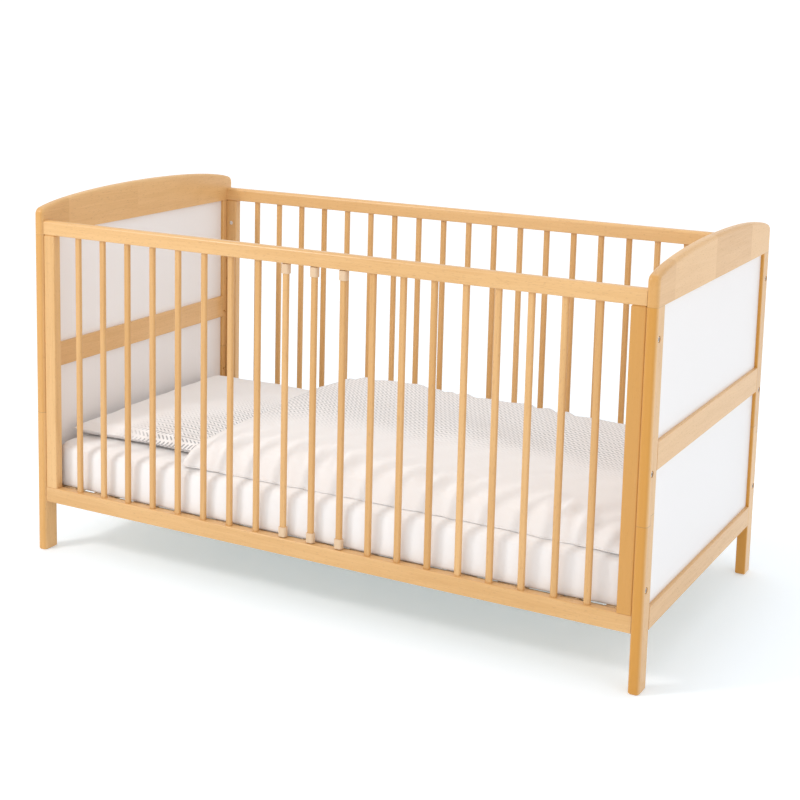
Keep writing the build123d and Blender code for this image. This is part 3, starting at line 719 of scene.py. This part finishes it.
def tube_round(points, radius, sides=8):
    """Piping: a ring of points at one distance round each point of a closed path.

    ring = centre + radius * (cos t * outward + sin t * up), with outward square to the path.
    """
    ahead = np.roll(points, -1, 0) - np.roll(points, 1, 0)
    ahead /= np.linalg.norm(ahead, axis=1, keepdims=True)
    outward = np.cross(ahead, (0, 0, 1.0))
    outward /= np.linalg.norm(outward, axis=1, keepdims=True)
    up = np.cross(outward, ahead)
    t = np.linspace(0, 2 * np.pi, sides, endpoint=False)[None, :, None]
    rings = points[:, None] + radius * (np.cos(t) * outward[:, None] + np.sin(t) * up[:, None])
    n = len(points)
    i, j = np.meshgrid(np.arange(n), np.arange(sides), indexing="ij")
    here, there = i * sides, ((i + 1) % n) * sides
    quads = np.stack([here + j, there + j, there + (j + 1) % sides, here + (j + 1) % sides], -1)
    return rings.reshape(-1, 3), quads.reshape(-1, 4)


print("lattice helpers ready")


# %% [markdown]
# ## Letting cloth fill out
# Air pressure inside a closed cloth pulls its seams in and raises its middle, as filling does. Twenty
# frames are enough, with gravity off. A cap on the way any point may move keeps the piece in its place,
# and the underside is put back on what it lies on.

# %% Cloth
SIMULATION_FRAMES = 20
CLOTH_QUALITY = 5
CLOTH_MASS = 0.25
CLOTH_BENDING = 0.4
WAVE_GAIN = 1.8                     # brings a sum of waves to about -1 to 1
TINY = 1e-9                         # keeps a division by a length of nought from failing


def subdivide(piece):
    """Round the piece's squares off by one step of subdivision."""
    finer = piece.modifiers.new("finer", "SUBSURF")
    finer.levels = finer.render_levels = 1


def fill_out(piece, pressure, cap, stiffness, resting):
    """Run the cloth and keep its result; resting(points) gives the lowest height allowed under each."""
    start = np.empty(len(piece.data.vertices) * 3)
    piece.data.vertices.foreach_get("co", start)
    start = start.reshape(-1, 3)
    moved = start
    cloth = piece.modifiers.new("filling", "CLOTH")
    cloth.point_cache.frame_start, cloth.point_cache.frame_end = 1, SIMULATION_FRAMES
    rules = cloth.settings
    rules.quality = CLOTH_QUALITY
    rules.mass = CLOTH_MASS
    rules.tension_stiffness = rules.compression_stiffness = stiffness
    rules.shear_stiffness = 0.5 * stiffness
    rules.bending_stiffness = CLOTH_BENDING
    rules.use_pressure = True
    rules.uniform_pressure_force = pressure
    rules.effector_weights.gravity = 0.0
    for number in range(1, SIMULATION_FRAMES + 1):
        scene.frame_set(number)
    result = piece.evaluated_get(bpy.context.evaluated_depsgraph_get()).to_mesh()
    moved = np.empty(len(result.vertices) * 3)
    result.vertices.foreach_get("co", moved)
    moved = moved.reshape(-1, 3)
    piece.modifiers.remove(cloth)
    scene.frame_set(1)
    step = moved - start
    length = np.linalg.norm(step, axis=1, keepdims=True)
    points = start + step * np.minimum(1.0, cap / np.maximum(length, TINY))
    points[:, Z] = np.maximum(points[:, Z], resting(points))
    piece.data.vertices.foreach_set("co", points.reshape(-1))
    piece.data.update()
    subdivide(piece)
    print(piece.name, "moved at most", round(float(length.max()) * 1000, 1), "mm")
    return points


def waves(points, seed, longest, shortest, count=14):
    """A sum of flat waves with seeded directions, lengths and starts; about -1 to 1.

    Each wave is the sine of 2 pi times the run along its direction over its length, plus its start. It
    weighs as much as its length's share of all lengths.
    """
    draw = np.random.default_rng(seed)
    angle = draw.uniform(0, 2 * np.pi, count)
    size = np.exp(draw.uniform(np.log(shortest), np.log(longest), count))
    start = draw.uniform(0, 2 * np.pi, count)
    run = points[:, :1] * np.cos(angle) + points[:, 1:2] * np.sin(angle)
    weight = size / size.sum()
    return (weight * np.sin(2 * np.pi * run / size + start)).sum(1) * WAVE_GAIN


print("cloth helpers ready")

# %% [markdown]
# ## Mattress
# A foam block in a fitted white sheet: a box with rounded edges, its sides a little full between the
# corners, with soft upright waves, and its top never quite level. The sheet gathers into short creases
# at the corners. A rounded box is a smaller box pushed out by its edge radius in the direction of each
# point.

# %% Mattress
TOP_ROUNDING = 26 * MILLIMETRE
BOTTOM_ROUNDING = 1 * MILLIMETRE
MATTRESS_FULLNESS = (2.0 * MILLIMETRE, 7.5 * MILLIMETRE)    # at the ends and at the sides
SIDE_WAVE = 1.8 * MILLIMETRE
CREASE_DEPTH = 1.6 * MILLIMETRE
TOP_WAVE = 0.8 * MILLIMETRE
TOP_SINK = 1 * MILLIMETRE           # keeps the waves under the top of the solid
WAVES_ALONG = 62.0                  # radians in a metre
CREASES_ALONG = 95.0                # radians in a metre

mattress_half = np.array((mattress_high - mattress_low) / 2)
mattress_centre = np.array((mattress_high + mattress_low) / 2)
lattice = Lattice(140, 70, 12)
flat_share = lattice.shares()
rounding = BOTTOM_ROUNDING + (TOP_ROUNDING - BOTTOM_ROUNDING) * (flat_share[:, Z:] + 1) / 2
flat = flat_share * mattress_half
core = np.clip(flat, rounding - mattress_half, mattress_half - rounding)
push = flat - core
reach = np.linalg.norm(push, axis=1, keepdims=True)
mattress_points = core + push * rounding / np.maximum(reach, TINY)
share = mattress_points / mattress_half
level = 1 - share[:, Z] ** 2
full = 1 - np.clip(share[:, Z], 0, 1) ** 2
for axis, other in ((X, Y), (Y, X)):
    outward = np.sign(share[:, axis]) * (np.abs(share[:, axis]) > 0.9)
    place = mattress_points[:, other]
    wave = np.sin(WAVES_ALONG * place + 2.2 * np.sin(11.0 * place) + 9.0 * mattress_points[:, Z])
    between = 1 - share[:, other] ** 4
    mattress_points[:, axis] += outward * (
        MATTRESS_FULLNESS[axis] * full * between + SIDE_WAVE * level * (wave * between - 1))
near_corner = np.clip(1.6 * (np.abs(share[:, X]) - 0.86) / 0.14, 0, 1) * np.clip(
    (np.abs(share[:, Y]) - 0.74) / 0.26, 0, 1)
crease = np.sin(CREASES_ALONG * (np.abs(mattress_points[:, X]) - np.abs(mattress_points[:, Y]))
                + 26.0 * mattress_points[:, Z])
mattress_points += mattress_centre
top_share = np.clip((share[:, Z] - 0.5) * 2, 0, 1)
mattress_points[:, Z] -= near_corner * CREASE_DEPTH * (1 + crease) * top_share
mattress_points[:, Z] += (TOP_WAVE * waves(mattress_points, 5, 0.35, 0.09) - TOP_SINK) * top_share
mattress = make_piece("mattress_cover", mattress_points, lattice.quads, mattress_cotton)
subdivide(mattress)
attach(mattress, "base")
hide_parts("mattress")
print("mattress", len(mattress_points), "points")

# %% [markdown]
# ## Pillow
# A flat child's pillow: thickest in the middle, thin at its seam, with sides that pull in between the
# corners.

# %% Pillow
PILLOW_SEAM = 5 * MILLIMETRE
PILLOW_PULL = 9 * MILLIMETRE
PILLOW_CROWN = (2.6, 0.55)          # power and root
PILLOW_WAVE = 2.2 * MILLIMETRE
PILLOW_MOST_MOVE = 7 * MILLIMETRE
PILLOW_PRESSURE, PILLOW_STIFFNESS = 1.2, 12.0
PILLOW_SPARE = 2 * MILLIMETRE       # room over it for the waves and the filling
PILLOW_INSET = 0.985                # its outline as a share of the solid's
PILLOW_SEAM_LIFT = 0.30             # height of its seam as a share of its depth
PILLOW_LIE = 0.8 * MILLIMETRE       # least height of its underside over the mattress
PIPING = 1.6 * MILLIMETRE


def crown(u, v, power, root):
    """1 in the middle and 0 at the edge of a square from -1 to 1.

    It is (1 - |u| to the power) times (1 - |v| to the power), all to the root.
    """
    return ((1 - np.abs(u) ** power) * (1 - np.abs(v) ** power)) ** root


def pulled_in(u, v, half, pull):
    """A rectangle whose sides bow inwards between the corners.

    Each half width loses the pull times (1 - the other share squared) times its own share cubed.
    """
    return np.stack([u * (half[X] - pull * (1 - v ** 2) * np.abs(u) ** 3),
                     v * (half[Y] - pull * (1 - u ** 2) * np.abs(v) ** 3)], -1)


bed_top = mattress_high.z
pillow_half = np.array((pillow_high - pillow_low) / 2)
pillow_centre = np.array((pillow_high + pillow_low) / 2)
pillow_depth = pillow_high.z - bed_top - PILLOW_SPARE
lattice = Lattice(44, 66, 2)
u, v, w = lattice.shares().T
thick = PILLOW_SEAM + (pillow_depth - PILLOW_SEAM) * crown(u, v, *PILLOW_CROWN)
outline = pulled_in(u, v, PILLOW_INSET * pillow_half, PILLOW_PULL)
seam_height = bed_top + PILLOW_SEAM_LIFT * pillow_depth * (1 - crown(u, v, 6.0, 1.0))
bottom = np.maximum(bed_top + MILLIMETRE, seam_height - 0.5 * PILLOW_SEAM)
points = np.stack([outline[:, 0] + pillow_centre[X], outline[:, 1] + pillow_centre[Y],
                   bottom + thick * (w + 1) / 2], -1)
points[:, Z] += PILLOW_WAVE * waves(points, 11, 0.30, 0.07) * crown(u, v, 4.0, 0.5) * (w > 0)
pillow = make_piece("pillow_case", points, lattice.quads, pillow_cotton)
points = fill_out(pillow, PILLOW_PRESSURE, PILLOW_MOST_MOVE, PILLOW_STIFFNESS,
                  lambda moved: np.full(len(moved), bed_top + PILLOW_LIE))
piping_points, piping_faces = tube_round(points[lattice.seam(1)], PIPING)
piping = make_piece("pillow_piping", piping_points, piping_faces, pillow_cotton)
for piece in (pillow, piping):
    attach(piece, "base")
    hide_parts("pillow")
print("pillow", len(points), "points")

# %% [markdown]
# ## Duvet
# A light duvet spread from the pillow to the foot end. Its top is highest at the pillow and along the
# rear, and rolls down to a sewn edge all round. Along both long sides the cloth gathers into soft
# creases, and its front corner at the foot is crumpled. Its underside follows the mattress and the
# pillow.

# %% Duvet
DUVET_SEAM = 7 * MILLIMETRE
DUVET_CREASE = 6.0 * MILLIMETRE
MOST_PAST = 0.8 * TOP_ROUNDING      # how far round the mattress' edge the duvet may follow
CRUMPLED_CORNER = 130 * MILLIMETRE
CRUMPLE = 5 * MILLIMETRE
DUVET_PULL = 5 * MILLIMETRE
DUVET_CROWN = (5.0, 0.36)           # power and root
DUVET_WAVE = 7 * MILLIMETRE
DUVET_FALL = 0.24                   # share of its height lost from the head end to the foot end
CREASE_SPACING = 82 * MILLIMETRE
DUVET_MOST_MOVE = 9 * MILLIMETRE
DUVET_PRESSURE, DUVET_STIFFNESS = 1.6, 10.0
DUVET_LIE = 1.2 * MILLIMETRE        # least height of its underside over the mattress
OVER_PILLOW = 1.02                  # the same over the pillow, as a share of the pillow's height

duvet_half = np.array((duvet_high - duvet_low) / 2)
duvet_centre = np.array((duvet_high + duvet_low) / 2)
duvet_crest = duvet_high.z - bed_top


def pillow_height(x, y):
    """Height of the pillow's top over the mattress, nought outside it."""
    pu = np.clip((x - pillow_centre[X]) / pillow_half[X], -1, 1)
    pv = np.clip((y - pillow_centre[Y]) / pillow_half[Y], -1, 1)
    return pillow_depth * crown(pu, pv, *PILLOW_CROWN)


def duvet_rest(points):
    """The lowest that the duvet's underside may lie: over the mattress' rounded edge and the pillow.

    Past the start of the rounding the top falls by its radius less the root of radius squared less
    the distance squared.
    """
    start = mattress_half[Y] - TOP_ROUNDING
    past = np.clip(np.abs(points[:, Y] - mattress_centre[Y]) - start, 0, MOST_PAST)
    drop = TOP_ROUNDING - np.sqrt(TOP_ROUNDING ** 2 - past ** 2)
    return bed_top + DUVET_LIE - drop + OVER_PILLOW * pillow_height(points[:, X], points[:, Y])


lattice = Lattice(104, 70, 4)
u, v, w = lattice.shares().T
outline = pulled_in(u, v, duvet_half, DUVET_PULL)
x, y = outline[:, 0] + duvet_centre[X], outline[:, 1] + duvet_centre[Y]
head_to_foot = 1.0 - DUVET_FALL * (u + 1) / 2
front_to_rear = 0.93 + 0.07 * v
edge = crown(u, v, *DUVET_CROWN)
top_height = duvet_crest * head_to_foot * front_to_rear * edge
under = duvet_rest(np.stack([x, y], -1)) - bed_top
top_height = np.maximum(top_height, under + DUVET_SEAM)
points = np.stack([x, y, bed_top + under + (top_height - under) * (w + 1) / 2], -1)
upper = np.clip((w + 0.2) / 1.2, 0, 1)
points[:, Z] += DUVET_WAVE * waves(points, 23, 0.55, 0.10) * upper * crown(u, v, 8.0, 0.5)
along_sides = np.clip(1.4 * (1 - np.abs(np.abs(v) - 0.92) / 0.22), 0, 1)
gather = np.sin(2 * np.pi * (x / CREASE_SPACING + 0.35 * np.sin(9.0 * x) + 0.6 * np.sin(23.0 * x)))
points[:, Z] += DUVET_CREASE * gather * along_sides * upper * 0.8
points[:, Y] += DUVET_CREASE * gather * along_sides * np.sign(v) * (1 - np.abs(w)) * 0.35
from_corner = np.stack([x - duvet_high.x, y - duvet_low.y], -1) / CRUMPLED_CORNER
near_foot_corner = np.exp(-(from_corner ** 2).sum(1))
points[:, Z] += CRUMPLE * waves(points, 31, 0.080, 0.035) * near_foot_corner * upper
duvet = make_piece("duvet_cover", points, lattice.quads, duvet_cotton)
points = fill_out(duvet, DUVET_PRESSURE, DUVET_MOST_MOVE, DUVET_STIFFNESS, duvet_rest)
piping_points, piping_faces = tube_round(points[lattice.seam(1)], PIPING)
duvet_piping = make_piece("duvet_piping", piping_points, piping_faces, duvet_cotton)
for piece in (duvet, duvet_piping):
    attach(piece, "base")
    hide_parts("duvet")
print("duvet", len(points), "points, top at", round(float(points[:, Z].max()), 3))
